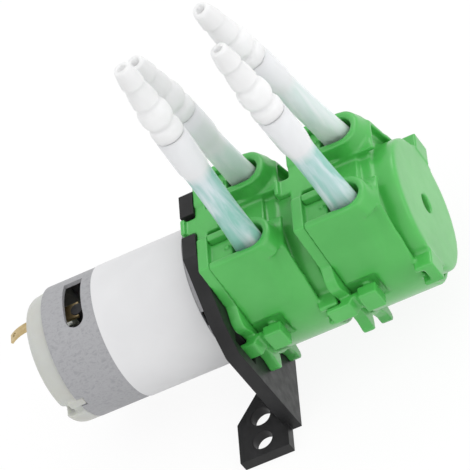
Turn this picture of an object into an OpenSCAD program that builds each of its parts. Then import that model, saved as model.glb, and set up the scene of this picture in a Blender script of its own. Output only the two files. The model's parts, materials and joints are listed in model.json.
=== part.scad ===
// Twin-head peristaltic dosing pump on a bare brushed motor.
// X runs along the shaft towards the pump heads, Z is up, and the near side is -Y.
// The origin is on the underside of the feet, on the line of the four foot holes.
// Dimensions are in millimetres.

/* [Bracket] */
// Height of the shaft above the surface that the feet stand on
axis_h = 21.1; // [20.6:0.1:24]
// Distance from the foot holes to the rear face of the bracket plate
plate_x = 4.65; // [4:0.05:6]
// Thickness of the bracket plate
plate_t = 3; // [2.6:0.1:3.6]
// Width of the bracket plate across its lower part
plate_w = 44.6; // [42:0.2:48]
// Height of the top lugs above the shaft
lug_top = 19.5; // [18.5:0.1:20]
// Thickness of each foot
foot_t = 2.5; // [2:0.1:3.2]
// Distance from the outer foot hole to the outer edge of its foot
foot_edge = 3.8; // [3.4:0.1:5]
// Length of a foot behind the hole line
foot_rear = 5.25; // [4.6:0.05:7]
// Diameter of the foot holes
foot_hole_d = 4.3; // [4:0.1:4.5]
// Spacing of the outer pair of foot holes
outer_hole_s = 47.8; // [47:0.1:49]
// Spacing of the inner pair of foot holes
inner_hole_s = 35.8; // [35:0.1:37]

/* [Motor] */
// Outer diameter of the motor can
can_d = 27.7; // [27.5:0.1:28]
// Length of the can from the bracket to its rear rim
can_len = 34.8; // [34:0.1:37]
// Wall of the can
can_wall = 0.8; // [0.7:0.05:1]
// Length that the end bell stands out behind the can
bell_len = 4.7; // [4.2:0.1:5.2]
// Start of the vent window, measured from the bracket
vent_start = 25.8; // [25:0.1:26.2]
// Length of the vent window along the shaft
vent_len = 4.1; // [3.5:0.1:4.4]
// Start of the label, measured from the bracket
label_start = 2.9; // [2.5:0.1:4]
// Length of the label along the shaft
label_len = 20.5; // [18:0.1:21.5]
// Diameter of the motor shaft
shaft_d = 2.3; // [2.2:0.1:2.4]
// Spacing of the two screws that hold the motor
motor_screw_s = 16; // [15.5:0.1:16.5]

/* [Pump heads] */
// Distance from one head to the next
head_pitch = 20.5; // [20.5:0.1:22]
// Thickness of the base plate up to the seam
base_t = 2.3; // [2.1:0.1:2.5]
// Distance from the base plate's rear face to the front rim of the housing
rim_h = 16.9; // [16.7:0.1:17.1]
// Outer radius of the housing round the rotor
housing_r = 15.5; // [15.3:0.1:15.8]
// Radius of the round track that the tube is pressed against
track_r = 13.6; // [13.5:0.05:13.65]
// Radius of the round boss on the front
boss_r = 13.87; // [13.8:0.01:13.95]
// Height of the tube ports above the shaft
port_top = 19.3; // [19:0.1:20]
// Sideways distance of a tube from the shaft at its port
port_y = 8.6; // [8.4:0.1:8.8]
// Width of the tube slot
slot_w = 5.6; // [5.5:0.05:5.7]
// Front end of the tube slot, measured from the base plate's rear face
slot_front = 14; // [13.9:0.05:14]
// Tube plane, measured from the base plate's rear face
tube_h = 10.3; // [10.2:0.05:10.35]

/* [Rotor] */
// Outer radius of the drive sleeve on the shaft
sleeve_r = 2.3; // [2.2:0.05:2.35]
// Radius from the shaft to the roller pins
orbit_r = 7.05; // [7:0.01:7.05]
// Outer radius of a roller
roller_r = 4.7; // [4.6:0.05:4.7]
// Length of a roller
roller_len = 7; // [6.6:0.1:7.1]
// Radius of a roller pin
pin_r = 1; // [0.9:0.05:1.1]
// Radial running clearance of the rollers on their pins
roller_fit = 0.04; // [0.03:0.01:0.08]
// Radius of the carrier plates
carrier_r = 9.6; // [9.2:0.1:10]
// Thickness of a carrier plate
carrier_t = 1.5; // [1.2:0.1:1.6]

/* [Tubes and connectors] */
// Outer diameter of the silicone tube
tube_od = 5.3; // [5.2:0.05:5.4]
// Bore of the silicone tube
tube_id = 3; // [2.8:0.1:3.2]
// Thickness of the tube where the rollers squeeze it shut
squeeze_t = 1.8; // [1.8:0.05:1.9]
// How far the near tube end of the first head stands out of its port
reach_near_1 = 27; // [20:0.5:32]
// How far the far tube end of the first head stands out of its port
reach_far_1 = 21.5; // [20:0.5:32]
// How far the near tube end of the second head stands out of its port
reach_near_2 = 22.3; // [20:0.5:32]
// How far the far tube end of the second head stands out of its port
reach_far_2 = 27.5; // [20:0.5:32]
// Rearward lean of the second head's tubes in degrees
lean_2 = 4; // [0:0.5:6]
// Outer diameter of the tube where the connector stretches it
flare_od = 6.2; // [6:0.1:6.4]

/* [Hidden] */
$fn = 72;
eps = 0.05;

// Colours
pump_green = [0.36, 0.72, 0.38];
black_plastic = [0.13, 0.13, 0.14];
zinc_grey = [0.66, 0.67, 0.68];
label_white = [0.87, 0.87, 0.88];
nylon_white = [0.80, 0.83, 0.78];
brass = [0.72, 0.58, 0.28];
copper = [0.72, 0.40, 0.22];
steel = [0.70, 0.71, 0.73];
iron = [0.35, 0.35, 0.37];
magnet_black = [0.20, 0.19, 0.19];
silicone = [0.74, 0.86, 0.86];
frosted_white = [0.93, 0.94, 0.96];
roller_white = [0.90, 0.90, 0.86];

// Bracket, derived
lug_in = 2.6;
lug_out = 8.3;
shoulder_y = 18.6;
shoulder_z = 10;
plate_side_top = 4.2;
notch_depth = 2.6;
foot_front = plate_x + 1;
foot_knee_y = 18;
foot_waist_x = -0.45;
foot_waist_y = 11.7;
foot_inner_y = 5;
foot_w = outer_hole_s + 2 * foot_edge;
latch_y = 17.2;
latch_len = 2.6;
latch_low_z = -2.6;
latch_high_z = 5.4;
centre_hole_r = 5.3;

// Motor, derived. Distances named _m are measured back from the bracket.
can_r = can_d / 2;
can_in_r = can_r - can_wall;
can_edge_r = 1.2;
boss_len = 1.6;
motor_boss_r = 5;
bearing_r = 3.2;
bearing_bore_r = shaft_d / 2 + 0.03;
vent_far_angle = 67.5;
vent_near_angle = 108.5;
vent_depth = 4;
front_slot_m = 0.9;
front_slot_len = 1.9;
front_slot_w = 3;
front_slot_angle = 62;
bell_in_m = can_len - 2;
bell_rear_m = can_len + bell_len;
bell_r = can_r - 0.55;
bell_rear_r = can_r - 2.25;
bell_low_r = can_r - 0.05;
bell_notch_top = -0.5;
bell_notch_low = -3.2;
bell_notch_in = can_r - 3.6;
bell_notch_depth = 2.3;
bell_key_w = 2.1;
rim_notch_w = 2.2;
rim_notch_len = 1.4;
terminal_z = 10.3;
terminal_t = 0.5;
terminal_w = 4.2;
tab_y = 1.2;
tab_w = 2.1;
terminal_gap = 0.03;
tab_bend_r = 9;
tab_angle = 35;
tab_hole_d = 0.9;
leaf_w = 3.8;
leaf_front_m = 28.2;
brush_m = 28.5;
brush_r = 1.35;
commutator_r = 3;
commutator_m = 25;
commutator_len = 6;
commutator_bars = 3;
brush_gap = 0.05;
magnet_in_r = 9.3;
magnet_m = 4;
magnet_len = 21.4;
magnet_arc = 116;
core_r = 8.7;
core_m = 8;
core_len = 13;
core_hub_r = 3.4;
arm_w = 3.4;
shoe_in_r = 6.9;
shoe_arc = 84;
coil_in_r = 3.9;
coil_out_r = 5.9;
coil_w = 7;
coil_over = 2.2;
label_t = 0.12;
screw_r = 1.25;
screw_head_r = 2.3;
screw_head_t = 1.3;
screw_len = 3.4;

// Pump head, derived. Distances named _h are measured forward from the base plate's rear face.
head_x = plate_x + plate_t;
slot_c = slot_front - slot_w / 2;
port_wall = 1.6;
track_front_h = slot_front + 0.15;
groove_h = rim_h - 1.6;
boss_h = head_pitch - 0.5;
boss_wall = 1.6;
boss_cavity_r = 11.6;
rim_lip = 0.9;
lobe_y = 11.3;
lobe_z = 15.9;
lobe_foot_y = 15.05;
lobe_foot_z = 3.7;
valley_y = 3.7;
valley_z = 14.9;
front_notch_h = 12.8;
front_notch_z = 13;
bush_r = 2.6;
bush_len = 1.5;
front_hole_r = 2;
tongue_w = 3.8;
tongue_t = 1.4;
tongue_len = 3;
tongue_lip = 0.8;
bridge_z = 18.9;
bridge_y = 3;
bridge_len = 4.8;
bridge_t = 1.9;
pocket_depth = 1.3;
pocket_floor_t = 2.4;
pocket_floor_h = 6.9;
pip_r = 0.5;
spigot_r = 5.1;
spigot_len = 0.5;
lip_gap = 0.15;
lip_t = 1.4;
lip_len = 1.7;
hub_hole_r = 3.2;
arm_rear_h = -2.8;
arm_front_h = 8.2;
arm_inner_y = 16.2;
arm_outer_y = 18.8;
arm_stem_y = 17.5;
arm_rear_y = 17.65;
arm_low_z = -2.1;
arm_high_z = 1.7;
arm_head_h = 4.3;
arm_head_z = 2.4;
catch_h = 5.25;
catch_len = 1.5;
catch_y = 16.85;
catch_z = 1.6;
arm_fit = 0.15;
recess_y = 14.85;
recess_z = 3.2;
recess_h = 8.8;
clip_y = 13.2;
clip_out_y = 17.5;
clip_rear_h = 16.3;
clip_web_h = 17.9;
clip_front_h = 20.2;
clip_low_z = -3.4;
clip_high_z = 2;
clip_bar = 1.1;

// Tube, derived. The tube leaves the track along a straight leg that meets the port.
tube_r = tube_od / 2;
tube_axis_r = track_r - tube_r;
band_r = track_r - squeeze_t / 2;
band_w = 7;
slit_t = 0.1;
port_dist = sqrt(port_y * port_y + port_top * port_top);
port_leg = sqrt(port_dist * port_dist - tube_axis_r * tube_axis_r);
leg_angle = atan2(port_top, port_y) - atan2(port_leg, tube_axis_r);
flat_leg = 5;
flat_foot = 11.5;
round_leg = 28;
lean_leg = 16;
bore_start = 11.5;
bore_ease = 0.03;
tube_sides = 24;
arc_steps = 28;
leg_steps = 8;
flare_start = 9.5;
flare_full = 6;
flare_bore_r = 2.1;
barb_gap = 0.02;
barb_in_len = 9;
barb_bore_r = 0.9;

// Rotor, derived
running_fit = 0.05;
sleeve_rear_h = 4;
sleeve_front_h = 16.8;
carrier_gap = 0.4;
carrier_rear_h = tube_h - roller_len / 2 - carrier_gap - carrier_t;
carrier_front_h = tube_h + roller_len / 2 + carrier_gap;
shaft_front_x = head_x + head_pitch + 18;

// Reach of each tube end out of its port: [near, far] for each head
tube_reach = [[reach_near_1, reach_far_1], [reach_near_2, reach_far_2]];
tube_lean = [0, lean_2];
function tube_end(k, side) = port_leg - lean_leg + tube_reach[k - 1][side];

// Frame on the shaft: drawings in (Y, Z) are extruded along +X from x
module along(x) {
    translate([x, 0, axis_h]) rotate([90, 0, 90]) children();
}

// Frame on the shaft of head k, h forward of its base plate's rear face
module head(k, h = 0) {
    along(head_x + (k - 1) * head_pitch + h) children();
}

// Frame on the shaft, drawn backwards from the bracket at distance m
module behind(m, len) {
    along(plate_x - m - len) children();
}

module both_sides() {
    children();
    mirror([1, 0, 0]) children();
}

// Frame of a tube leg: its x points out from the shaft and its y runs up the leg
module leg() {
    rotate(leg_angle) children();
}

// Frame of a tube leg above its port: z runs up the tube from the place where it begins to lean.
// side is 0 for near, 1 for far
module tube_frame(k, side) {
    head(k, tube_h) mirror([1 - side, 0, 0]) leg()
        translate([tube_axis_r, lean_leg, 0]) rotate([-90, 0, 0])
            rotate([-tube_lean[k - 1], 0, 0]) children();
}

module ring(r_out, r_in, len) {
    difference() {
        cylinder(h = len, r = r_out);
        translate([0, 0, -eps]) cylinder(h = len + 2 * eps, r = r_in);
    }
}

// Bracket
module plate_outline() {
    half = plate_w / 2;
    difference() {
        polygon([
            [-half, -axis_h], [half, -axis_h], [half, plate_side_top],
            [shoulder_y, shoulder_z], [lug_out, lug_top],
            [-lug_out, lug_top], [-shoulder_y, shoulder_z], [-half, plate_side_top]
        ]);
        translate([-lug_in, lug_top - notch_depth]) square([2 * lug_in, notch_depth + 1]);
        circle(r = centre_hole_r);
        both_sides() translate([latch_y, latch_low_z]) square([latch_len, latch_high_z - latch_low_z]);
    }
}

module foot() {
    difference() {
        linear_extrude(foot_t) polygon([
            [foot_front, foot_inner_y], [foot_front, foot_w / 2], [-foot_rear, foot_w / 2],
            [-foot_rear, foot_knee_y], [foot_waist_x, foot_waist_y], [plate_x, foot_inner_y]
        ]);
        for (s = [inner_hole_s, outer_hole_s])
            translate([0, s / 2, -1]) cylinder(h = foot_t + 2, d = foot_hole_d);
    }
}

module mounting_bracket() {
    color(black_plastic) {
        difference() {
            along(plate_x) linear_extrude(plate_t) plate_outline();
            for (s = [-1, 1]) along(plate_x - eps) translate([s * motor_screw_s / 2, 0, 0]) {
                cylinder(h = plate_t + 2 * eps, r = screw_r + 0.15);
                translate([0, 0, plate_t + eps - screw_head_t]) cylinder(h = screw_head_t + eps, r = screw_head_r + 0.1);
            }
        }
        foot();
        mirror([0, 1, 0]) foot();
    }
}

// Motor
// A vent window above and one below, each rounded at one end
module vent_cut() {
    for (s = [0, 180]) rotate(s) {
        rotate(vent_far_angle) rotate_extrude(angle = vent_near_angle - vent_far_angle)
            translate([can_r - vent_depth / 2, 0]) square([vent_depth, vent_len]);
        rotate(vent_near_angle) translate([can_r - vent_depth / 2, 0, vent_len / 2]) rotate([0, 90, 0])
            cylinder(h = vent_depth, d = vent_len);
    }
}

module motor_can() {
    color(zinc_grey) difference() {
        behind(0, can_len) rotate_extrude() difference() {
            union() {
                square([can_r, can_len - can_edge_r]);
                square([can_r - can_edge_r, can_len]);
                translate([can_r - can_edge_r, can_len - can_edge_r]) circle(r = can_edge_r);
                square([motor_boss_r, can_len + boss_len]);
            }
            translate([-1, -1]) square([can_in_r + 1, can_len - can_wall + 1]);
            translate([-1, 0]) square([bearing_r + 1, can_len + boss_len + 1]);
        }
        behind(vent_start, vent_len) vent_cut();
        for (s = [-1, 1]) behind(front_slot_m, front_slot_len) rotate(90 + s * front_slot_angle)
            translate([can_r - 1.6, -front_slot_w / 2, 0]) cube([3, front_slot_w, front_slot_len]);
        for (s = [0, 180]) behind(can_len - rim_notch_len, rim_notch_len + 1) rotate(s)
            translate([can_in_r - 0.5, -rim_notch_w / 2, 0]) cube([3, rim_notch_w, rim_notch_len + 1]);
        for (s = [-1, 1]) behind(-eps, can_wall + 2 * eps) translate([s * motor_screw_s / 2, 0, 0])
            cylinder(h = can_wall + 2 * eps, r = screw_r);
    }
}

module motor_label() {
    color(label_white) behind(label_start, label_len) ring(can_r + label_t, can_r, label_len);
}

module front_bearing() {
    color(brass) behind(-boss_len, boss_len + can_wall + 1)
        ring(bearing_r, bearing_bore_r, boss_len + can_wall + 1);
}

// The room for a terminal in the end bell: wide inside, as wide as the tab at the rear
module terminal_slot() {
    wall = 1.2;
    translate([-terminal_w / 2 - terminal_gap, terminal_z - terminal_t / 2 - terminal_gap, wall])
        cube([terminal_w + 2 * terminal_gap, terminal_t + 2 * terminal_gap, bell_len + 3]);
    translate([tab_y - tab_w / 2 - terminal_gap, terminal_z - terminal_t / 2 - terminal_gap, -1])
        cube([tab_w + 2 * terminal_gap, terminal_t + 2 * terminal_gap, 3]);
}

// The lower part of the end bell is as wide as the can, and a slot on each side divides it from the upper part
module motor_end_bell() {
    hub_r = 5.2;
    bell_wall = 1.6;
    color(nylon_white) difference() {
        behind(bell_in_m, bell_rear_m - bell_in_m) difference() {
            union() {
                rotate_extrude() difference() {
                    polygon([
                        [0, 0], [bell_rear_r, 0], [bell_r - 0.9, 0.5], [bell_r - 0.4, 1.4],
                        [bell_r, bell_len], [can_in_r, bell_len],
                        [can_in_r, bell_rear_m - bell_in_m], [0, bell_rear_m - bell_in_m]
                    ]);
                    translate([hub_r, bell_wall]) square([can_in_r - hub_r - bell_wall, bell_rear_m]);
                    translate([-1, 1.2]) square([bearing_r + 1, bell_rear_m]);
                }
                intersection() {
                    rotate_extrude() polygon([
                        [can_in_r - 1.2, 0.1], [bell_low_r - 0.8, 0.1], [bell_low_r - 0.35, 0.4],
                        [bell_low_r - 0.05, 1.3], [bell_low_r, 2.1], [bell_low_r, bell_len], [can_in_r - 1.2, bell_len]
                    ]);
                    translate([-can_d, bell_notch_low - can_d, -1]) cube([2 * can_d, can_d, bell_len + 2]);
                }
                for (s = [0, 180]) rotate(s) translate([can_in_r - 0.6, -bell_key_w / 2, bell_notch_depth + 0.1])
                    cube([can_r - can_in_r + 0.5, bell_key_w, bell_len + rim_notch_len - bell_notch_depth - 0.15]);
            }
            both_sides() translate([bell_notch_in, bell_notch_low, -1])
                cube([can_r, bell_notch_top - bell_notch_low, bell_notch_depth + 1]);
            terminal_slot();
            mirror([0, 1, 0]) terminal_slot();
        }
    }
}

module rear_bearing() {
    rear_bearing_len = 3.4;
    color(brass) behind(bell_rear_m - 1.2 - rear_bearing_len, rear_bearing_len)
        ring(bearing_r, bearing_bore_r, rear_bearing_len);
}

// A strip of the terminal, drawn from the side with x forward from the rear face
module leaf_strip(y, w) {
    translate([y + w / 2, 0, 0]) rotate([0, -90, 0]) linear_extrude(w) children();
}

// One stamped brass terminal: a bent tab with a hole, and the leaf that holds its brush
module terminal() {
    top = terminal_z + terminal_t / 2;
    root_z = 1.4;
    bend_in_r = tab_bend_r - terminal_t;
    steps = 8;
    color(brass) difference() {
        behind(bell_rear_m, 0) {
            leaf_strip(tab_y, tab_w) translate([0, top - tab_bend_r]) polygon(concat(
                [[root_z + 0.2, tab_bend_r]],
                [for (i = [0:steps]) let (a = tab_angle * i / steps) tab_bend_r * [-sin(a), cos(a)]],
                [for (i = [steps:-1:0]) let (a = tab_angle * i / steps) bend_in_r * [-sin(a), cos(a)]],
                [[root_z + 0.2, bend_in_r]]
            ));
            leaf_strip(0, terminal_w) translate([root_z, top - terminal_t])
                square([bell_rear_m - bell_in_m - root_z, terminal_t]);
            leaf_strip(0, leaf_w) translate([root_z, top - terminal_t])
                square([bell_rear_m - leaf_front_m - root_z, terminal_t]);
        }
        behind(brush_m, 0) translate([0, commutator_r, 0]) rotate([-90, 0, 0])
            cylinder(h = can_r, r = brush_r + brush_gap);
        behind(bell_rear_m, 0) translate([tab_y, 0, -tab_bend_r * sin(tab_angle) + 1.2]) rotate([-90, 0, 0])
            cylinder(h = can_r, d = tab_hole_d);
    }
}

module terminal_upper() {
    terminal();
}

module terminal_lower() {
    translate([0, 0, axis_h]) mirror([0, 0, 1]) translate([0, 0, -axis_h]) terminal();
}

// Two round brushes, standing just above their leaves
module carbon_brushes() {
    brush_foot = commutator_r + brush_gap;
    color(iron) behind(brush_m, 0) for (s = [0, 180]) rotate(s)
        translate([0, brush_foot, 0]) rotate([-90, 0, 0])
            cylinder(h = terminal_z + terminal_t / 2 + 0.15 - brush_foot, r = brush_r);
}

module motor_magnets() {
    color(magnet_black) behind(magnet_m, magnet_len) for (s = [0, 180])
        rotate(s - magnet_arc / 2) rotate_extrude(angle = magnet_arc)
            translate([magnet_in_r, 0]) square([can_in_r - magnet_in_r, magnet_len]);
}

module armature_core() {
    color(iron) behind(core_m, core_len) difference() {
        union() {
            cylinder(h = core_len, r = core_hub_r);
            for (i = [0:2]) rotate(30 + 120 * i) {
                translate([0, -arm_w / 2, 0]) cube([shoe_in_r + 0.3, arm_w, core_len]);
                rotate(-shoe_arc / 2) rotate_extrude(angle = shoe_arc)
                    translate([shoe_in_r, 0]) square([core_r - shoe_in_r, core_len]);
            }
        }
        translate([0, 0, -eps]) cylinder(h = core_len + 2 * eps, d = shaft_d);
    }
}

module armature_windings() {
    color(copper) behind(core_m - coil_over, core_len + 2 * coil_over) for (i = [0:2]) rotate(30 + 120 * i)
        difference() {
            translate([coil_in_r, -coil_w / 2, 0])
                cube([coil_out_r - coil_in_r, coil_w, core_len + 2 * coil_over]);
            translate([0, -arm_w / 2, coil_over]) cube([coil_out_r + 1, arm_w, core_len]);
        }
}

module commutator() {
    color(copper) behind(commutator_m, commutator_len) difference() {
        cylinder(h = commutator_len, r = commutator_r);
        translate([0, 0, -eps]) cylinder(h = commutator_len + 2 * eps, d = shaft_d);
        for (i = [0:commutator_bars - 1]) rotate(90 + 120 * i)
            translate([commutator_r - 0.5, -0.15, 1]) cube([1, 0.3, commutator_len]);
    }
}

module motor_shaft() {
    shaft_rear_x = plate_x - bell_rear_m + 1.4;
    color(steel) along(shaft_rear_x) cylinder(h = shaft_front_x - shaft_rear_x, d = shaft_d);
}

module motor_screws() {
    color(steel) for (s = [-1, 1]) along(plate_x + plate_t) translate([s * motor_screw_s / 2, 0, 0])
        rotate([180, 0, 0]) difference() {
            union() {
                cylinder(h = screw_head_t, r = screw_head_r);
                cylinder(h = screw_len, r = screw_r);
            }
            translate([-screw_head_r, -0.3, -eps]) cube([2 * screw_head_r, 0.6, 0.6]);
        }
}

// Pump head: the base plate
module port_plan(inset) {
    half = (slot_w + 2 * port_wall) / 2 - inset;
    translate([tube_axis_r - half, 0]) square([2 * half, port_leg + 4]);
}

// Outline of one side of the base plate, from the port down: a wavy edge, then an ear
module side_outline() {
    f = housing_r / 15.5;
    polygon(f * [
        [12.4, 9.6], [14.2, 8.7], [15.5, 7.9], [16.6, 7.3], [17.3, 6.5], [17.6, 5.5], [17.3, 4.3],
        [16.8, 3.1], [16.5, 1.8], [16.4, -3], [16.3, -5.3], [16.6, -7], [17.1, -8.5],
        [16.9, -9.3], [16.3, -9.7], [14.2, -9.4], [12.6, -8.6], [10, 0]
    ]);
    polygon(f * [
        [9.6, -12], [8.4, -14], [7.5, -16.5], [7.5, -18.3], [7.1, -19], [6.3, -19.3],
        [5.6, -18.9], [4.9, -17], [4, -14.8]
    ]);
}

module base_outline() {
    circle(r = housing_r + 0.5);
    intersection() {
        both_sides() leg() port_plan(0.3);
        translate([-20, 0]) square([40, port_top]);
    }
    translate([-bridge_y - 3, 8]) square([2 * bridge_y + 6, bridge_z - 8]);
    both_sides() side_outline();
}

// One hook arm, drawn in plan with x outwards and y forward: a rear hook, a hollow and a thick head
module hook_arm() {
    difference() {
        union() {
            translate([0, arm_low_z, 0]) rotate([-90, 0, 0]) linear_extrude(arm_high_z - arm_low_z) mirror([0, 1])
                polygon([
                    [arm_rear_y, arm_rear_h], [arm_outer_y, arm_rear_h], [arm_outer_y, base_t - 0.3],
                    [arm_stem_y, base_t + 0.6], [arm_stem_y, arm_head_h - 0.8], [arm_outer_y - 0.2, arm_head_h + 0.1],
                    [arm_outer_y - 0.2, arm_head_h + 1], [arm_inner_y + 0.1, arm_head_h + 1],
                    [arm_inner_y + 0.1, 0.3], [arm_rear_y, 0.3]
                ]);
            translate([arm_inner_y, -arm_head_z, arm_head_h])
                cube([arm_outer_y - arm_inner_y, 2 * arm_head_z, arm_front_h - arm_head_h]);
        }
        translate([arm_inner_y - 1, -catch_z - arm_fit, catch_h - arm_fit])
            cube([catch_y - arm_inner_y + 1 + arm_fit, 2 * (catch_z + arm_fit), catch_len + 2 * arm_fit]);
    }
}

// Floor of the pocket behind the tube in one port, with its small pip
module pocket_floor() {
    half = slot_w / 2 - arm_fit;
    intersection() {
        leg() translate([tube_axis_r - half, 0, base_t - 0.5])
            cube([2 * half, port_leg + 4, pocket_floor_h - base_t + 0.5]);
        translate([0, port_top - pocket_depth - pocket_floor_t, 0]) cube([30, pocket_floor_t, 20]);
    }
    translate([port_y, port_top - pocket_depth - 0.5, pocket_floor_h - 0.9]) rotate([-90, 0, 0])
        cylinder(h = 0.5 + pip_r, r = pip_r);
}

module base_plate(k) {
    color(pump_green) {
        head(k) linear_extrude(base_t) difference() {
            base_outline();
            circle(r = hub_hole_r);
        }
        head(k, -spigot_len) ring(spigot_r, hub_hole_r, spigot_len + eps);
        head(k, base_t - eps) ring(track_r - lip_gap, track_r - lip_gap - lip_t, lip_len + eps);
        head(k, base_t - 0.5) translate([-bridge_y, bridge_z - bridge_t, 0])
            cube([2 * bridge_y, bridge_t, bridge_len - base_t + 0.5]);
        head(k, -tongue_len) {
            translate([-tongue_w / 2, bridge_z - tongue_t, 0]) cube([tongue_w, tongue_t, tongue_len + 0.5]);
            translate([-tongue_w / 2, bridge_z - 0.5, 0]) cube([tongue_w, tongue_lip + 0.5, 1]);
        }
        head(k) both_sides() {
            hook_arm();
            pocket_floor();
        }
    }
}

// Pump head: the housing shell
module housing_outline(inset) {
    circle(r = housing_r - inset);
    polygon([
        [-lobe_y + inset, lobe_z - inset], [lobe_y - inset, lobe_z - inset],
        [lobe_foot_y - inset, lobe_foot_z], [0, 0], [-lobe_foot_y + inset, lobe_foot_z]
    ]);
}

// Tower round one tube slot, following the lean of the tube leg, with a flared foot in front
module port_tower() {
    half = slot_w / 2 + port_wall;
    leg() translate([tube_axis_r, 0, 0]) rotate([-90, 0, 0]) {
        linear_extrude(port_leg + 4) {
            translate([-half, -slot_c]) square([2 * half, slot_c]);
            translate([0, -slot_c]) circle(r = half);
        }
        translate([0, -slot_c, port_leg - 4]) intersection() {
            union() {
                cylinder(h = 2, r1 = half + 1.2, r2 = half + 0.5);
                translate([0, 0, 2]) cylinder(h = 1.4, r1 = half + 0.5, r2 = half + 0.1);
            }
            translate([-half - 2, -half - 2, -1]) cube([2 * half + 1.8, 2 * half + 4, 6]);
        }
    }
}

// Slot that the tube is laid into, square at its foot where the tube is still flat
module slot_cut() {
    leg() translate([tube_axis_r, 0, 0]) rotate([-90, 0, 0]) {
        linear_extrude(flat_foot) translate([-slot_w / 2, -slot_front]) square([slot_w, slot_front]);
        linear_extrude(port_leg + 6) {
            translate([-slot_w / 2, -slot_c]) square([slot_w, slot_c]);
            translate([0, -slot_c]) circle(d = slot_w);
        }
    }
}

module housing(k) {
    color(pump_green) {
        difference() {
            union() {
                head(k, base_t) linear_extrude(rim_h - base_t) housing_outline(0);
                intersection() {
                    head(k) both_sides() port_tower();
                    head(k) translate([-30, 0, base_t]) cube([60, port_top, 30]);
                }
                head(k, rim_h - 3) cylinder(h = boss_h - rim_h + 3, r = boss_r);
            }
            head(k, groove_h) difference() {
                linear_extrude(4) housing_outline(rim_lip);
                translate([0, 0, -1]) cylinder(h = 8, r = boss_r);
            }
            head(k) cylinder(h = track_front_h, r = track_r);
            head(k) difference() {
                cylinder(h = boss_h - boss_wall, r = boss_cavity_r);
                translate([0, 0, boss_h - boss_wall - bush_len]) cylinder(h = bush_len + 1, r = bush_r + 1.2);
            }
            head(k) cylinder(h = boss_h - boss_wall, r = bush_r);
            head(k) cylinder(h = boss_h + 1, r = front_hole_r);
            head(k) both_sides() slot_cut();
            head(k) translate([-valley_y, valley_z, -1]) cube([2 * valley_y, 6, 30]);
            head(k, front_notch_h) translate([-valley_y, front_notch_z + 1.1, 0]) cube([2 * valley_y, 6, 30]);
            head(k) both_sides() translate([recess_y, -recess_z, 0]) cube([3, 2 * recess_z, recess_h]);
        }
        head(k) both_sides() {
            translate([recess_y - 0.3, -catch_z, catch_h])
                cube([catch_y - recess_y + 0.3, 2 * catch_z, catch_len]);
            translate([clip_y, clip_low_z, clip_web_h])
                cube([clip_out_y - clip_y, clip_high_z - clip_low_z, clip_front_h - clip_web_h]);
            for (z = [clip_low_z, clip_high_z - clip_bar]) translate([clip_y, z, clip_rear_h])
                cube([clip_out_y - clip_y, clip_bar, clip_front_h - clip_rear_h]);
        }
    }
}

// Plain bearing in a collar behind the front wall
module shaft_bush(k) {
    color(brass) head(k, boss_h - boss_wall - bush_len) ring(bush_r, shaft_d / 2 + running_fit, bush_len);
}

// Pump head: the rotor
module carrier_plate(k, h) {
    color(steel) head(k, h) difference() {
        cylinder(h = carrier_t, r = carrier_r);
        translate([0, 0, -eps]) cylinder(h = carrier_t + 2 * eps, r = sleeve_r + running_fit);
        for (i = [0:2]) rotate(90 + 120 * i) translate([orbit_r, 0, -eps])
            cylinder(h = carrier_t + 2 * eps, r = pin_r);
        for (i = [0:2]) rotate(150 + 120 * i) translate([carrier_r + 1.5, 0, -eps])
            cylinder(h = carrier_t + 2 * eps, r = 4);
    }
}

module roller_pins(k) {
    color(steel) head(k, carrier_rear_h) for (i = [0:2]) rotate(90 + 120 * i) translate([orbit_r, 0, 0])
        cylinder(h = carrier_front_h + carrier_t - carrier_rear_h, r = pin_r);
}

module roller(k, i) {
    color(roller_white) head(k, tube_h - roller_len / 2) rotate(90 + 120 * i) translate([orbit_r, 0, 0])
        difference() {
            ring(roller_r, pin_r + roller_fit, roller_len);
            for (z = [-eps, roller_len - 0.6]) translate([0, 0, z]) ring(3.6, 2, 0.6 + eps);
        }
}

module drive_sleeve(k) {
    color(steel) head(k, sleeve_rear_h) ring(sleeve_r, shaft_d / 2, sleeve_front_h - sleeve_rear_h);
}

// Tube: a squeezed U in the track, two round legs and two stretched ends, swept ring by ring.
// Its section goes from flat at w = 0, of thickness t and width b, to round of radius r at w = 1
function tube_section(w, r, t, b) = [
    for (i = [0:tube_sides - 1]) let (a = (i + 0.5) * 360 / tube_sides)
        (1 - w) * [t / 2 * cos(a), t / 2 * sin(a) + sign(sin(a)) * (b - t) / 2] + w * r * [cos(a), sin(a)]
];

// A soft step from 0 to 1
function ease(u) = let (v = min(1, max(0, u))) v * v * (3 - 2 * v);

// A point of the leg's own frame, x out from the shaft and y up the leg, on side 1 or -1
function leg_point(side, p) = [
    side * (p[0] * cos(leg_angle) - p[1] * sin(leg_angle)),
    p[0] * sin(leg_angle) + p[1] * cos(leg_angle),
    p[2]
];

// One ring at distance s up a leg, of the bore if inside is true. Above its port the leg leans rearward
function leg_ring(side, s, r, inside, lean) = let (
    w = ease((s - flat_leg) / (round_leg - flat_leg)),
    in = ease((s - flat_leg) / (lean_leg - flat_leg)),
    up = max(0, s - lean_leg),
    tilt = s < lean_leg ? 0 : lean,
    c = [band_r + (tube_axis_r - band_r) * in, min(s, lean_leg) + up * cos(lean), -up * sin(lean)],
    flat = inside ? [slit_t, band_w - squeeze_t] : [squeeze_t, band_w]
) [for (p = tube_section(w, r, flat[0], flat[1])) leg_point(side, c + [p[0], p[1] * sin(tilt), p[1] * cos(tilt)])];

function arc_ring(a) = [
    for (p = tube_section(0, 0, squeeze_t, band_w)) [(band_r + p[0]) * cos(a), (band_r + p[0]) * sin(a), p[1]]
];

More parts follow.
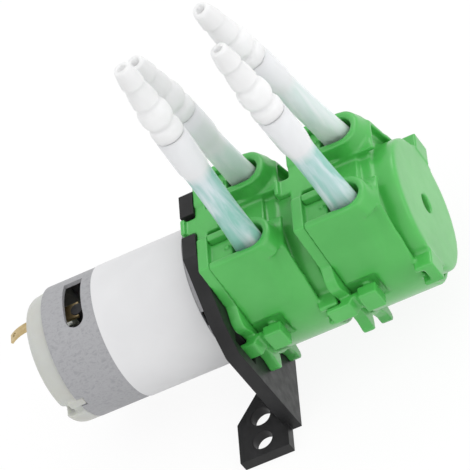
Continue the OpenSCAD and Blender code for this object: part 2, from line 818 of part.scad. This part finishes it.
// Distances up a leg, radii and whether in the bore, from the foot of the leg over its end and back down
function leg_outline(end) = [
    for (i = [0:leg_steps]) [flat_leg + (round_leg - flat_leg) * i / leg_steps, tube_r, false],
    for (i = [0:4]) [
        end - flare_start + (flare_start - flare_full) * i / 4,
        tube_r + (flare_od / 2 - tube_r) * ease(i / 4), false
    ],
    [end, flare_od / 2, false], [end, flare_bore_r + bore_ease, true],
    [end - flare_start + 0.4, flare_bore_r + bore_ease, true],
    [end - flare_start - 0.4, tube_id / 2, true],
    for (i = [leg_steps:-1:0]) [bore_start + (round_leg - bore_start) * i / leg_steps, tube_id / 2, true]
];

module pump_tube(k) {
    ends = [for (side = [0, 1]) leg_outline(port_leg + tube_reach[k - 1][side])];
    far = ends[1];
    near = ends[0];
    rings = [
        for (i = [len(far) - 1:-1:0]) leg_ring(1, far[i][0], far[i][1], far[i][2], tube_lean[k - 1]),
        for (i = [0:arc_steps]) arc_ring(leg_angle - (180 + 2 * leg_angle) * i / arc_steps),
        for (e = near) leg_ring(-1, e[0], e[1], e[2], tube_lean[k - 1])
    ];
    n = tube_sides;
    last = (len(rings) - 1) * n;
    color(silicone) head(k, tube_h) polyhedron(
        points = [for (r = rings) each r],
        faces = [
            [for (i = [0:n - 1]) i],
            [for (i = [n - 1:-1:0]) last + i],
            for (j = [0:len(rings) - 2], i = [0:n - 1]) let (a = j * n + i, b = j * n + (i + 1) % n)
                each [[a, b + n, b], [a, a + n, b + n]]
        ]
    );
}

// Stepped hose connector: one barb in the pump tube, two collars and two stepped barbs outside.
// It is drawn for a bore of 3 and scaled with the tube
module connector(k, side) {
    f = tube_id / 3;
    fit_r = (flare_bore_r - barb_gap) / f;
    color(frosted_white) tube_frame(k, side) translate([0, 0, tube_end(k, side)])
        rotate_extrude() polygon(f * [
            [barb_bore_r, -barb_in_len], [1.5, -barb_in_len], [fit_r, -barb_in_len + 2.6],
            [1.7, -barb_in_len + 2.8], [fit_r, -3.4], [1.75, -3.2], [1.75, 0],
            [2.9, 0], [2.9, 0.4], [2.35, 0.7], [2.35, 1.1], [2.9, 1.3], [3.1, 1.9], [3.1, 3.3], [2.9, 3.9],
            [2.55, 4.2], [2.55, 4.9], [2.95, 5.3], [3.15, 6], [3.15, 7.6], [2.95, 8.6],
            [2.45, 9.3], [2.45, 9.9], [2.7, 10.2], [2.5, 12.4], [2.1, 14.4],
            [2.1, 14.6], [2.35, 14.9], [2.15, 16.6], [1.75, 18.9], [1.5, 19.3], [barb_bore_r, 19.3]
        ]);
}

module base_plate_1() { base_plate(1); }
module housing_1() { housing(1); }
module carrier_rear_1() { carrier_plate(1, carrier_rear_h); }
module carrier_front_1() { carrier_plate(1, carrier_front_h); }
module roller_pins_1() { roller_pins(1); }
module roller_1a() { roller(1, 0); }
module roller_1b() { roller(1, 1); }
module roller_1c() { roller(1, 2); }
module drive_sleeve_1() { drive_sleeve(1); }
module shaft_bush_1() { shaft_bush(1); }
module pump_tube_1() { pump_tube(1); }
module connector_near_1() { connector(1, 0); }
module connector_far_1() { connector(1, 1); }
module base_plate_2() { base_plate(2); }
module housing_2() { housing(2); }
module carrier_rear_2() { carrier_plate(2, carrier_rear_h); }
module carrier_front_2() { carrier_plate(2, carrier_front_h); }
module roller_pins_2() { roller_pins(2); }
module roller_2a() { roller(2, 0); }
module roller_2b() { roller(2, 1); }
module roller_2c() { roller(2, 2); }
module drive_sleeve_2() { drive_sleeve(2); }
module shaft_bush_2() { shaft_bush(2); }
module pump_tube_2() { pump_tube(2); }
module connector_near_2() { connector(2, 0); }
module connector_far_2() { connector(2, 1); }

mounting_bracket();
motor_can();
motor_end_bell();
motor_label();
motor_screws();
terminal_upper();
terminal_lower();
carbon_brushes();
motor_magnets();
front_bearing();
rear_bearing();
armature_core();
armature_windings();
commutator();
motor_shaft();
base_plate_1();
housing_1();
carrier_rear_1();
carrier_front_1();
roller_pins_1();
roller_1a();
roller_1b();
roller_1c();
drive_sleeve_1();
shaft_bush_1();
pump_tube_1();
connector_near_1();
connector_far_1();
base_plate_2();
housing_2();
carrier_rear_2();
carrier_front_2();
roller_pins_2();
roller_2a();
roller_2b();
roller_2c();
drive_sleeve_2();
shaft_bush_2();
pump_tube_2();
connector_near_2();
connector_far_2();
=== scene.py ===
import bpy
import bmesh
import json
import math
from mathutils import Matrix, Vector

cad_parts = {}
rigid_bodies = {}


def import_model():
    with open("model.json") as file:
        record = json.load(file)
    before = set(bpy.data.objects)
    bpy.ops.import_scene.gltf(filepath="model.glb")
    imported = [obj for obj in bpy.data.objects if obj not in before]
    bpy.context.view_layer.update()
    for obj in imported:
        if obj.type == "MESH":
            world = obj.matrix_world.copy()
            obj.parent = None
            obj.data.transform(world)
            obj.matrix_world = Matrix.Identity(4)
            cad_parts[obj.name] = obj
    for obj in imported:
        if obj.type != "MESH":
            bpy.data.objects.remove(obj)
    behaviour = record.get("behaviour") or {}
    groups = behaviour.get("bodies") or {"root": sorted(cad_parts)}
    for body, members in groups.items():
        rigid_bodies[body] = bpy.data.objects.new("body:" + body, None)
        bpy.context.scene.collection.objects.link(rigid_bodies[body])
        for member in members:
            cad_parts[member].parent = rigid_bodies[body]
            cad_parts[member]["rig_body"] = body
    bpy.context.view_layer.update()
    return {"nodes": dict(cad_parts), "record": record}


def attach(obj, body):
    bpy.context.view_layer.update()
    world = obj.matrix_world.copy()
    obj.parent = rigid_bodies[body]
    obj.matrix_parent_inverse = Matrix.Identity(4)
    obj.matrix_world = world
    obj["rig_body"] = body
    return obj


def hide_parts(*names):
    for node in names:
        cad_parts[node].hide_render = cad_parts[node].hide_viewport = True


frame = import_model()
nodes = frame["nodes"]
slotOf = {part["node"]: part["material_slot"] for part in frame["record"]["subparts"]}
mm = 0.001
print("frame loaded:", len(nodes), "nodes")


# helpers for materials; every pattern reads Object coordinates, in metres
noiseLow, noiseHigh = 0.3, 0.7                       # a noise value seldom leaves this range
mixFactor, mixFirst, mixSecond, mixResult = 0, 6, 7, 2   # where a Mix node keeps its colour sockets


def startMaterial(name, look):
    mat = bpy.data.materials.new(name)
    mat.use_nodes = True
    shader = mat.node_tree.nodes["Principled BSDF"]
    shader.inputs["Base Color"].default_value = (*look["body"], 1)
    for socket, value in look["shader"].items():     # values that are the same all over the surface
        shader.inputs[socket].default_value = value
    return mat, mat.node_tree, shader


def noiseOn(tree, scale, detail, stretch=(1, 1, 1), distortion=0):
    coords = tree.nodes.new("ShaderNodeTexCoord")
    mapping = tree.nodes.new("ShaderNodeMapping")
    mapping.inputs["Scale"].default_value = stretch
    noise = tree.nodes.new("ShaderNodeTexNoise")
    noise.inputs["Scale"].default_value = scale
    noise.inputs["Detail"].default_value = detail
    noise.inputs["Distortion"].default_value = distortion
    tree.links.new(coords.outputs["Object"], mapping.inputs["Vector"])
    tree.links.new(mapping.outputs["Vector"], noise.inputs["Vector"])
    return noise.outputs["Fac"]


def rampOn(tree, look):
    ramp = tree.nodes.new("ShaderNodeValToRGB")
    ramp.color_ramp.elements.remove(ramp.color_ramp.elements[1])
    for i, (place, shade) in enumerate(look["stops"]):
        stop = ramp.color_ramp.elements[0] if i == 0 else ramp.color_ramp.elements.new(place)
        stop.position = place
        stop.color = (*look[shade], 1)
    tree.links.new(noiseOn(tree, **look["colourNoise"]), ramp.inputs["Fac"])
    return ramp.outputs["Color"]


def rangeOn(tree, value, fromRange, toRange):
    ranger = tree.nodes.new("ShaderNodeMapRange")
    for socket, number in zip(("From Min", "From Max", "To Min", "To Max"), (*fromRange, *toRange)):
        ranger.inputs[socket].default_value = number
    tree.links.new(value, ranger.inputs["Value"])
    return ranger.outputs["Result"]


def mathOn(tree, operation, first, second):
    step = tree.nodes.new("ShaderNodeMath")
    step.operation = operation
    tree.links.new(first, step.inputs[0])
    if isinstance(second, (int, float)):
        step.inputs[1].default_value = second
    else:
        tree.links.new(second, step.inputs[1])
    return step.outputs[0]


def mixColours(tree, factor, first, second):
    mix = tree.nodes.new("ShaderNodeMix")
    mix.data_type = "RGBA"
    mix.inputs[mixSecond].default_value = (*second, 1)
    tree.links.new(factor, mix.inputs[mixFactor])
    tree.links.new(first, mix.inputs[mixFirst])
    return mix.outputs[mixResult]


def bumpOn(tree, shader, look):
    bump = tree.nodes.new("ShaderNodeBump")
    bump.inputs["Strength"].default_value = look["bumpStrength"]
    bump.inputs["Distance"].default_value = look["bumpDepth"] * mm
    tree.links.new(noiseOn(tree, **look["bumpNoise"]), bump.inputs["Height"])
    tree.links.new(bump.outputs["Normal"], shader.inputs["Normal"])


# a finish from its dictionary: colour, roughness and bump each follow a noise of their own;
# stops say which of its shades lies where on the colour noise
def makeFinish(name, look):
    mat, tree, shader = startMaterial(name, look)
    if "stops" in look:
        tree.links.new(rampOn(tree, look), shader.inputs["Base Color"])
    if "roughRange" in look:
        rough = rangeOn(tree, noiseOn(tree, **look["roughNoise"]), (noiseLow, noiseHigh), look["roughRange"])
        tree.links.new(rough, shader.inputs["Roughness"])
    bumpOn(tree, shader, look)
    return mat


# green plastic of the heads: satin, with a slow drift of colour
greenLook = {
    "body": (0.060, 0.40, 0.068),
    "deep": (0.049, 0.366, 0.057),
    "light": (0.074, 0.434, 0.081),
    "stops": [(0.35, "deep"), (0.5, "body"), (0.68, "light")],
    "colourNoise": {"scale": 70, "detail": 4},
    "roughNoise": {"scale": 420, "detail": 3},
    "roughRange": (0.33, 0.37),
    "bumpNoise": {"scale": 1800, "detail": 2},
    "bumpDepth": 0.01,                               # in mm, here and in the other finishes
    "bumpStrength": 0.1,
    "shader": {"Roughness": 0.36, "Coat Weight": 0.35, "Coat Roughness": 0.16, "Subsurface Weight": 0.12,
               "Subsurface Radius": (0.3, 1.0, 0.3), "Subsurface Scale": 0.0008},
}

# black plastic of the bracket: finely textured, with little gloss
blackLook = {
    "body": (0.011, 0.011, 0.0115),
    "light": (0.018, 0.018, 0.019),
    "stops": [(0.35, "body"), (0.7, "light")],
    "colourNoise": {"scale": 260, "detail": 4, "stretch": (1, 1, 0.4)},
    "roughNoise": {"scale": 500, "detail": 3},
    "roughRange": (0.36, 0.48),
    "bumpNoise": {"scale": 2600, "detail": 2},
    "bumpDepth": 0.04,
    "bumpStrength": 0.4,
    "shader": {"Roughness": 0.42, "Specular IOR Level": 0.26},
}

# zinc plate of the motor can: dull and finely mottled
zincLook = {
    "body": (0.36, 0.36, 0.375),
    "dark": (0.295, 0.298, 0.31),
    "stops": [(0.32, "dark"), (0.52, "body"), (0.72, "dark")],
    "colourNoise": {"scale": 1500, "detail": 5, "stretch": (0.7, 1, 1), "distortion": 0.6},
    "roughNoise": {"scale": 900, "detail": 4},
    "roughRange": (0.54, 0.68),
    "bumpNoise": {"scale": 5200, "detail": 4},
    "bumpDepth": 0.03,
    "bumpStrength": 0.5,
    "shader": {"Roughness": 0.6, "Metallic": 0.15},
}

# bare label film, with the slight waves that it takes round the can
labelLook = {
    "body": (0.68, 0.68, 0.69),
    "shade": (0.66, 0.66, 0.67),
    "stops": [(0.35, "shade"), (0.65, "body")],
    "colourNoise": {"scale": 140, "detail": 3},
    "bumpNoise": {"scale": 300, "detail": 3, "stretch": (0.3, 1, 1)},
    "bumpDepth": 0.04,
    "bumpStrength": 0.3,
    "shader": {"Roughness": 0.5, "Specular IOR Level": 0.3},
}

# off-white nylon of the motor's end bell
nylonLook = {
    "body": (0.50, 0.52, 0.50),
    "warm": (0.485, 0.485, 0.45),
    "stops": [(0.35, "warm"), (0.62, "body")],
    "colourNoise": {"scale": 110, "detail": 3},
    "bumpNoise": {"scale": 1500, "detail": 2},
    "bumpDepth": 0.03,
    "bumpStrength": 0.3,
    "shader": {"Roughness": 0.44, "Subsurface Weight": 0.35, "Subsurface Radius": (1.0, 1.1, 0.8),
               "Subsurface Scale": 0.002},
}

# frosted plastic of the hose connectors
frostLook = {
    "body": (0.89, 0.893, 0.90),
    "roughNoise": {"scale": 500, "detail": 3},
    "roughRange": (0.28, 0.42),
    "bumpNoise": {"scale": 1300, "detail": 3},
    "bumpDepth": 0.04,
    "bumpStrength": 0.4,
    "shader": {"Roughness": 0.34, "Transmission Weight": 0.15, "IOR": 1.49, "Subsurface Weight": 1.0,
               "Subsurface Radius": (1.0, 1.0, 1.0), "Subsurface Scale": 0.004},
}

# silicone of the tubes: clear and greenish near its port, and milky where a connector fills its end; the far
# legs carry painted light that makes them paler
siliconeLook = {
    "body": (0.285, 0.56, 0.49),
    "pale": (0.455, 0.645, 0.635),
    "milky": (0.67, 0.765, 0.80),
    "stops": [(0.38, "body"), (0.5, "pale"), (0.64, "milky")],
    "colourNoise": {"scale": 420, "detail": 4, "stretch": (1, 1, 0.12), "distortion": 0.6},
    "filled": (0.835, 0.85, 0.875),
    "fillEdge": 1.2,                                 # in mm, to each side of where the connector starts
    "farMilk": (0.92, 0.945, 0.95),                  # painted light: the far ends are painted paler than the near ones, standing in for light that shines through them from behind
    "farShare": 0.6,
    "bumpNoise": {"scale": 900, "detail": 2, "stretch": (1, 1, 0.25)},
    "bumpDepth": 0.03,
    "bumpStrength": 0.3,
    "shader": {"Roughness": 0.20, "Transmission Weight": 0.12, "IOR": 1.41, "Sheen Weight": 0.3,
               "Sheen Roughness": 0.3, "Subsurface Weight": 0.6, "Subsurface Radius": (1.0, 1.0, 1.0),
               "Subsurface Scale": 0.003},
}


# nearFill and farFill are the heights in mm where the connectors start in the two ends
def makeSilicone(name, nearFill, farFill):
    mat, tree, shader = startMaterial(name, siliconeLook)
    clear = rampOn(tree, siliconeLook)
    coords = tree.nodes.new("ShaderNodeTexCoord")
    parts = tree.nodes.new("ShaderNodeSeparateXYZ")
    tree.links.new(coords.outputs["Object"], parts.inputs[0])
    farSide = mathOn(tree, "GREATER_THAN", parts.outputs["Y"], 0)
    fillStart = tree.nodes.new("ShaderNodeMix")
    fillStart.inputs["A"].default_value = nearFill * mm
    fillStart.inputs["B"].default_value = farFill * mm
    tree.links.new(farSide, fillStart.inputs["Factor"])
    aboveStart = mathOn(tree, "SUBTRACT", parts.outputs["Z"], fillStart.outputs["Result"])
    edge = siliconeLook["fillEdge"] * mm
    inConnector = rangeOn(tree, aboveStart, (-edge, edge), (0, 1))
    # painted light: the far legs are mixed towards a paler colour, which stands in for the light that shines
    # through them from behind
    farMilk = mathOn(tree, "MULTIPLY", farSide, siliconeLook["farShare"])
    withPaintedLight = mixColours(tree, farMilk, clear, siliconeLook["farMilk"])
    tint = mixColours(tree, inConnector, withPaintedLight, siliconeLook["filled"])
    tree.links.new(tint, shader.inputs["Base Color"])
    bumpOn(tree, shader, siliconeLook)
    return mat


tubeFinish = {
    "pump_tube_1": makeSilicone("milkySilicone", 58.5, 50.0),
    "pump_tube_2": makeSilicone("milkySiliconeFront", 53.5, 58.5),
}

# bare metals: a stretch below 1 draws the streaks out along its axis, and one above 1 packs them closer;
# the roughness follows a finer noise than the colour, and the bump a finer one still
metalLook = {
    "brass": {"name": "stampedBrass", "dark": (0.48, 0.36, 0.17), "light": (0.68, 0.54, 0.30),
              "rough": 0.34},
    "bronze": {"name": "sinteredBronze", "dark": (0.30, 0.20, 0.11), "light": (0.46, 0.33, 0.19),
               "rough": 0.45},
    "steel": {"name": "turnedSteel", "dark": (0.45, 0.45, 0.47), "light": (0.62, 0.62, 0.64),
              "rough": 0.30, "stretch": (0.15, 1, 1)},
    "copper": {"name": "enamelledCopper", "dark": (0.42, 0.16, 0.06), "light": (0.66, 0.29, 0.12),
               "rough": 0.34, "stretch": (6, 1, 1), "scale": 260},
    "iron": {"name": "laminatedIron", "dark": (0.14, 0.14, 0.15), "light": (0.25, 0.25, 0.26),
             "rough": 0.5, "stretch": (14, 1, 1), "scale": 180},
}


def makeMetal(name, dark, light, rough, stretch=(1, 1, 1), scale=700):
    return makeFinish(name, {
        "body": light,
        "dark": dark,
        "stops": [(noiseLow, "dark"), (noiseHigh, "body")],
        "colourNoise": {"scale": scale, "detail": 4, "stretch": stretch},
        "roughNoise": {"scale": scale * 1.7, "detail": 3, "stretch": stretch},
        "roughRange": (rough - 0.07, rough + 0.07),
        "bumpNoise": {"scale": scale * 4, "detail": 3, "stretch": stretch},
        "bumpDepth": 0.02,
        "bumpStrength": 0.4,
        "shader": {"Roughness": rough, "Metallic": 1.0},
    })


# dull pieces inside the motor and the heads
dullLook = {
    "ferrite": {"name": "groundFerrite", "dark": (0.03, 0.028, 0.028), "light": (0.07, 0.065, 0.065),
                "rough": 0.6},
    "carbon": {"name": "brushCarbon", "dark": (0.010, 0.010, 0.011), "light": (0.03, 0.03, 0.032),
               "rough": 0.7},
    "roller_nylon": {"name": "rollerNylon", "dark": (0.66, 0.66, 0.60), "light": (0.78, 0.78, 0.73),
                     "rough": 0.4},
}


def makeDull(name, dark, light, rough):
    return makeFinish(name, {
        "body": light,
        "dark": dark,
        "stops": [(noiseLow, "dark"), (noiseHigh, "body")],
        "colourNoise": {"scale": 900, "detail": 4},
        "bumpNoise": {"scale": 2700, "detail": 3},
        "bumpDepth": 0.04,
        "bumpStrength": 0.6,
        "shader": {"Roughness": rough},
    })


slotLook = {
    "green_plastic": makeFinish("greenPlastic", greenLook),
    "black_plastic": makeFinish("blackPlastic", blackLook),
    "zinc_can": makeFinish("zincPlate", zincLook),
    "label_film": makeFinish("labelFilm", labelLook),
    "end_bell_nylon": makeFinish("endBellNylon", nylonLook),
    "frosted_plastic": makeFinish("frostedPlastic", frostLook),
    "silicone": tubeFinish["pump_tube_1"],
    **{slot: makeMetal(**look) for slot, look in metalLook.items()},
    **{slot: makeDull(**look) for slot, look in dullLook.items()},
}
print("materials made:", len(slotLook))


def paint(mesh, mat):
    mesh.materials.clear()
    mesh.materials.append(mat)


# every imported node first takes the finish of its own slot
for nodeName, node in nodes.items():
    paint(node.data, slotLook[slotOf[nodeName]])


# helpers for pieces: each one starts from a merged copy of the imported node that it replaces
mergeDistance = 0.002                                # in mm


def linked(name, data):
    item = bpy.data.objects.new(name, data)
    bpy.context.scene.collection.objects.link(item)
    return item


def openForm(mesh):
    form = bmesh.new()
    form.from_mesh(mesh)
    return form


def closeForm(form, mesh):
    form.to_mesh(mesh)
    form.free()


def pieceName(nodeName, ending):
    return nodeName.replace("_", " ").title().replace(" ", "") + ending


def mergedCopy(nodeName, ending):
    name = pieceName(nodeName, ending)
    form = openForm(nodes[nodeName].data)
    bmesh.ops.remove_doubles(form, verts=form.verts, dist=mergeDistance * mm)
    mesh = bpy.data.meshes.new(name)
    closeForm(form, mesh)
    return linked(name, mesh)


def addSmooth(piece, name, passes, group=""):
    ease = piece.modifiers.new(name, "SMOOTH")
    ease.factor = 0.5
    ease.iterations = passes
    ease.vertex_group = group


def settle(piece):
    # bakes the live modifiers into the mesh
    depsgraph = bpy.context.evaluated_depsgraph_get()
    mesh = bpy.data.meshes.new_from_object(piece.evaluated_get(depsgraph))
    piece.modifiers.clear()
    piece.data = mesh
    mesh.shade_smooth()


def dress(piece, nodeName, mat):
    paint(piece.data, mat)
    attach(piece, nodes[nodeName]["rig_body"])
    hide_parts(nodeName)


# moulded pieces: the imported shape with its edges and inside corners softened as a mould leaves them
mouldedLook = {
    "housing": {"grain": 0.27, "passes": 6},         # grain is the size of the new faces in mm
    "base_plate": {"grain": 0.22, "passes": 5},
    "motor_end_bell": {"grain": 0.25, "passes": 3},
    "connector": {"grain": 0.16, "passes": 6},
}


def moulded(nodeName, grain, passes):
    piece = mergedCopy(nodeName, "Moulded")
    skin = piece.modifiers.new("skin", "REMESH")
    skin.mode = "VOXEL"
    skin.voxel_size = grain * mm
    addSmooth(piece, "ease", passes)
    settle(piece)
    dress(piece, nodeName, slotLook[slotOf[nodeName]])


for nodeName in sorted(nodes):
    for kind, look in mouldedLook.items():
        if nodeName.startswith(kind):
            moulded(nodeName, **look)
print("moulded pieces made")


# crisp pieces: the flat faces are joined again, and each sharp edge gets a narrow round
crispLook = {
    "mounting_bracket": {"width": 0.25, "steps": 2},     # width of the round in mm
    "motor_can": {"width": 0.18, "steps": 2},
}
flatAngle = 0.01                                     # faces that turn by less are one face
crispAngle = math.radians(35)                        # edges that turn by more are rounded


def crisp(nodeName, width, steps):
    piece = mergedCopy(nodeName, "Crisp")
    form = openForm(piece.data)
    bmesh.ops.dissolve_limit(form, angle_limit=flatAngle, verts=form.verts, edges=form.edges)
    closeForm(form, piece.data)
    piece.data.shade_smooth()
    rounded = piece.modifiers.new("edge", "BEVEL")
    rounded.width = width * mm
    rounded.segments = steps
    rounded.limit_method = "ANGLE"
    rounded.angle_limit = crispAngle
    even = piece.modifiers.new("even", "WEIGHTED_NORMAL")
    even.weight = 100                                # the flat faces stay flat in the shading
    settle(piece)
    dress(piece, nodeName, slotLook[slotOf[nodeName]])


for nodeName, look in crispLook.items():
    crisp(nodeName, **look)
print("crisp pieces made")


# the port collars and the rim of each boss are rounded further, as far as their wall allows;
# in mm: Low and High count up from the shaft, In counts out from it, and Rear forward from the base
softLook = {
    "base": {"housing_1": 7.65, "housing_2": 28.15},
    "shaftHeight": 21.1,
    "fade": 0.9,
    "collarLow": 8, "collarRear": 8.5, "collarIn": 4.2,
    "collarPasses": 22,
    "bossIn": 10.6, "bossRear": 17.2,
    "bossPasses": 60,
    "clipIn": 12.7, "clipLow": -4.5, "clipHigh": 3.2,    # the clips beside the boss stay as they are
}


def fadeIn(value, start):
    return min(max((value - start) / softLook["fade"], 0), 1)


def softenHousing(nodeName, base):
    piece = bpy.data.objects[pieceName(nodeName, "Moulded")]
    groups = {part: piece.vertex_groups.new(name=part) for part in ("collar", "boss")}
    for point in piece.data.vertices:
        forward = point.co.x / mm - base
        side = abs(point.co.y) / mm
        rise = point.co.z / mm - softLook["shaftHeight"]
        onClip = side > softLook["clipIn"] and softLook["clipLow"] < rise < softLook["clipHigh"]
        onBoss = fadeIn(forward, softLook["bossRear"]) * fadeIn(math.hypot(side, rise), softLook["bossIn"])
        onCollar = (fadeIn(rise, softLook["collarLow"]) * fadeIn(forward, softLook["collarRear"])
                    * fadeIn(side, softLook["collarIn"]))
        if onBoss > 0 and not onClip:
            groups["boss"].add([point.index], onBoss, "REPLACE")
        elif onCollar > 0:
            groups["collar"].add([point.index], onCollar, "REPLACE")
    for part in groups:
        addSmooth(piece, part, softLook[part + "Passes"], part)
    settle(piece)
    piece.vertex_groups.clear()
    print("softened", nodeName, "with", len(piece.data.polygons), "faces")


for nodeName, base in softLook["base"].items():
    softenHousing(nodeName, base)


# silicone tubes: the swept tube with its facets rounded off
tubeLook = {
    "neckCover": 1.0,                                # how far an end reaches over its connector, in mm
    "rimHeight": 40,                                 # the rims of the ends lie above this, in mm
    "rimAngle": 0.9,                                 # edges that turn by more are a rim
    "joinAngle": 0.7,                                # triangles that differ by less become one face
}


def softTube(nodeName):
    piece = mergedCopy(nodeName, "Soft")
    form = openForm(piece.data)
    bmesh.ops.join_triangles(form, faces=form.faces, angle_face_threshold=tubeLook["joinAngle"],
                             angle_shape_threshold=tubeLook["joinAngle"])
    # the rim stays square, as a cut tube has it
    crease = form.edges.layers.float.new("crease_edge")
    rim = set()
    for edge in form.edges:
        onEnd = edge.verts[0].co.z > tubeLook["rimHeight"] * mm
        if onEnd and len(edge.link_faces) == 2 and edge.calc_face_angle() > tubeLook["rimAngle"]:
            edge[crease] = 1.0
            rim.update(edge.verts)
    # and it is pulled over the narrow neck of the connector, up to the first full collar
    for side in (-1, 1):
        points = [point for point in rim if point.co.y * side > 0]
        along = Vector((0, 0, 0))
        for face in form.faces:
            if all(point in rim and point.co.y * side > 0 for point in face.verts):
                along += face.normal * face.calc_area()
        for point in points:
            point.co += along.normalized() * tubeLook["neckCover"] * mm
    closeForm(form, piece.data)
    rounded = piece.modifiers.new("round", "SUBSURF")
    rounded.levels = 1
    rounded.render_levels = 1
    settle(piece)
    piece.data.set_sharp_from_angle(angle=tubeLook["rimAngle"])
    dress(piece, nodeName, tubeFinish[nodeName])


for nodeName in tubeFinish:
    softTube(nodeName)
print("tubes made")


# camera: the photograph's viewing angle, re-aimed so that its frame is centred
cameraLook = {
    "right": (0.8755, -0.0685, -0.4783),
    "up": (0.3695, 0.7327, 0.5714),
    "back": (0.3113, -0.677, 0.6668),
    "aim": (0.01195, 0, 0.0211),                     # in metres, as the distance is
    "distance": 0.70967,
    "frame": 470,                                    # these three are in pixels of the photograph
    "focal": 3630.8,
    "aimPixel": (262.008, 272.654),
    "sensor": 36,                                    # in mm
    "clip": (0.01, 10),
}


def placeCamera():
    right, up, back = (Vector(cameraLook[axis]) for axis in ("right", "up", "back"))
    focal = cameraLook["focal"]
    middle = cameraLook["frame"] / 2
    aimX, aimY = cameraLook["aimPixel"]
    place = Vector(cameraLook["aim"]) + back * cameraLook["distance"]
    ray = right * ((middle - aimX) / focal) + up * ((aimY - middle) / focal) - back
    newBack = -ray.normalized()
    newRight = (right - newBack * right.dot(newBack)).normalized()
    newUp = newBack.cross(newRight)
    turn = Matrix((newRight, newUp, newBack)).transposed()
    data = bpy.data.cameras.new("camera")
    data.sensor_width = cameraLook["sensor"]
    data.lens = focal * cameraLook["sensor"] / cameraLook["frame"]
    data.clip_start, data.clip_end = cameraLook["clip"]
    camera = linked("camera", data)
    camera.matrix_world = Matrix.Translation(place) @ turn.to_4x4()
    bpy.context.scene.camera = camera


# floor: pale paper that shows white to the camera, in gloss and through clear plastic,
# and keeps a faint shadow
stageLook = {
    "floorSize": 3.0,
    "floorDrop": 0.05,                               # in mm below the feet
    "floorColour": (0.92, 0.92, 0.92),
    "shadowShare": 0.1,
    "worldLight": 0.90,
}
white = (1, 1, 1, 1)


def placeFloor():
    form = bmesh.new()
    bmesh.ops.create_grid(form, x_segments=1, y_segments=1, size=stageLook["floorSize"])
    mesh = bpy.data.meshes.new("floor")
    closeForm(form, mesh)
    floor = linked("floor", mesh)
    floor.location = (0, 0, -stageLook["floorDrop"] * mm)
    mat = bpy.data.materials.new("floorPaper")
    mat.use_nodes = True
    tree = mat.node_tree
    tree.nodes.clear()
    out = tree.nodes.new("ShaderNodeOutputMaterial")
    matte = tree.nodes.new("ShaderNodeBsdfDiffuse")
    matte.inputs["Color"].default_value = (*stageLook["floorColour"], 1)
    glow = tree.nodes.new("ShaderNodeEmission")
    glow.inputs["Color"].default_value = white
    glow.inputs["Strength"].default_value = 1.0
    seen = tree.nodes.new("ShaderNodeLightPath")
    ray = mathOn(tree, "MAXIMUM", seen.outputs["Is Camera Ray"], seen.outputs["Is Glossy Ray"])
    ray = mathOn(tree, "MAXIMUM", ray, seen.outputs["Is Transmission Ray"])
    share = mathOn(tree, "MULTIPLY", ray, 1 - stageLook["shadowShare"])
    mix = tree.nodes.new("ShaderNodeMixShader")
    tree.links.new(share, mix.inputs["Fac"])
    tree.links.new(matte.outputs[0], mix.inputs[1])
    tree.links.new(glow.outputs[0], mix.inputs[2])
    tree.links.new(mix.outputs[0], out.inputs["Surface"])
    paint(mesh, mat)


# light: a bright white room and three large soft lamps, with places in metres and power in watts
lampLook = {
    "keyLight": {"place": (-0.22, -0.30, 0.90), "aim": (0.01, 0, 0.03), "size": 0.9, "power": 1.3},
    "fillLight": {"place": (0.6, -0.2, 0.45), "aim": (0.02, 0, 0.03), "size": 0.9, "power": 1.9},
    "rearLight": {"place": (0.25, 0.60, 0.62), "aim": (0.02, 0, 0.05), "size": 0.5, "power": 1.2},
}


def placeLight(name, place, aim, size, power):
    data = bpy.data.lights.new(name, "AREA")
    data.shape = "DISK"
    data.size = size
    data.energy = power
    lamp = linked(name, data)
    turn = (Vector(aim) - Vector(place)).to_track_quat("-Z", "Y")
    lamp.matrix_world = Matrix.Translation(place) @ turn.to_matrix().to_4x4()


def placeWorld():
    world = bpy.data.worlds.new("studio")
    world.use_nodes = True
    room = world.node_tree.nodes["Background"]
    room.inputs["Color"].default_value = white
    room.inputs["Strength"].default_value = stageLook["worldLight"]
    bpy.context.scene.world = world
    bpy.context.scene.view_settings.view_transform = "Standard"


placeCamera()
placeFloor()
placeWorld()
for name, look in lampLook.items():
    placeLight(name, **look)
print("camera, floor and lights placed")
